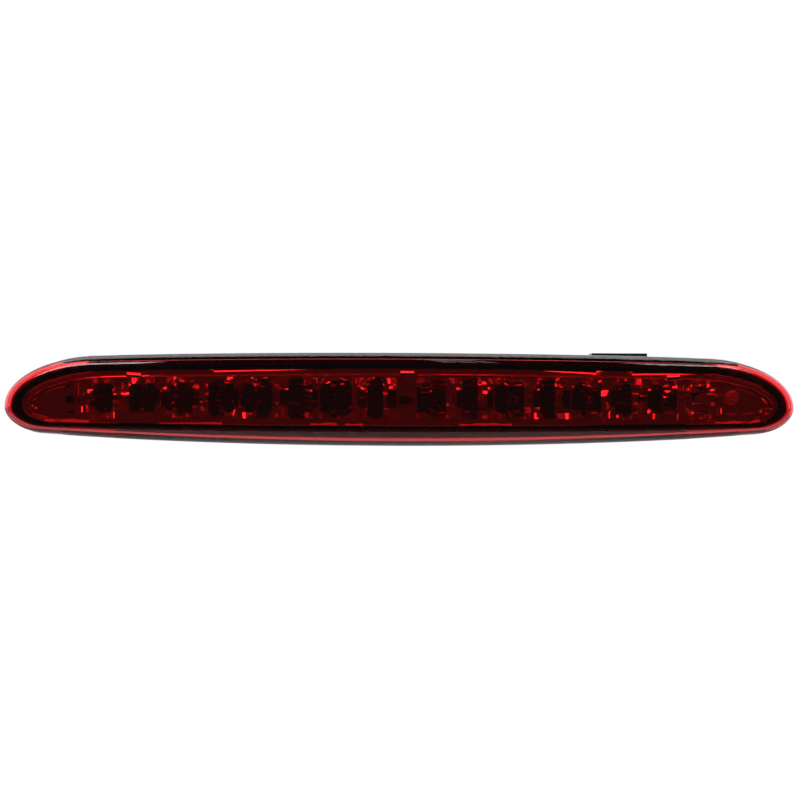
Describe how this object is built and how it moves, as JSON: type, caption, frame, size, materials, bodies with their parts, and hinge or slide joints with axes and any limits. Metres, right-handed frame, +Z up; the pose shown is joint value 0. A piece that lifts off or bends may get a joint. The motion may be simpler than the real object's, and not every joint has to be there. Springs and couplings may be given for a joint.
{
  "type": "third brake light",
  "caption": "Long low third brake light with a clear red boat-shaped lens over a row of LED reflector cells, a dark sealed housing, rear studs and sprung clips.",
  "frame": {"origin": "centre of the line between the two studs, on the mounting plane where the gasket meets the body panel", "axes": "+X along the lamp to the right as seen from behind the car, +Y forwards into the body panel, +Z up; the lens faces -Y"},
  "size_m": [0.38, 0.05, 0.0454],
  "materials": {
    "lens_red": "clear red moulded acrylic, polished",
    "sealant_black": "matt black sealing bead",
    "housing_black": "fine-textured black moulding",
    "reflector_metal": "vacuum-metallised moulding",
    "optic_clear": "clear moulded flutes",
    "board_green": "green solder mask",
    "led_clear": "clear moulded package",
    "component_black": "moulded epoxy",
    "ceramic_tan": "fired ceramic body",
    "zinc_steel": "bright zinc plate",
    "terminal_brass": "tin-plated brass",
    "socket_black": "moulded nylon",
    "seal_rubber": "soft moulded rubber",
    "gasket_foam": "closed-cell foam",
    "spring_steel": "blued spring strip",
    "membrane_white": "thin breathable membrane"
  },
  "bodies": {
    "lamp": {"outer_lens": "lens_red", "lens_sealant": "sealant_black", "rear_housing": "housing_black", "reflector": "reflector_metal", "inner_optic": "optic_clear", "led_board": "board_green", "leds": "led_clear", "series_resistors": "component_black", "protection_diode": "component_black", "suppression_capacitor": "ceramic_tan", "board_screws": "zinc_steel", "reflector_screw": "zinc_steel", "terminal_pins": "terminal_brass", "connector_socket": "socket_black", "socket_seal": "seal_rubber", "perimeter_gasket": "gasket_foam", "mounting_studs": "zinc_steel", "stud_seals": "gasket_foam", "clip_pins": "zinc_steel", "vent_membrane": "membrane_white", "vent_cap": "housing_black"},
    "left_clip": {"spring_clip_left": "spring_steel"},
    "right_clip": {"spring_clip_right": "spring_steel"}
  },
  "joints": [
    {"name": "left_clip_flex", "type": "hinge", "parent": "lamp", "child": "left_clip", "pos_m": [-0.15, 0.009, 0], "axis": [1, 0, 0], "range_deg": [0, 30], "stiffness_Nm_per_rad": 0.3},
    {"name": "right_clip_flex", "type": "hinge", "parent": "lamp", "child": "right_clip", "pos_m": [0.15, 0.009, 0], "axis": [1, 0, 0], "range_deg": [0, 30], "stiffness_Nm_per_rad": 0.3}
  ]
}
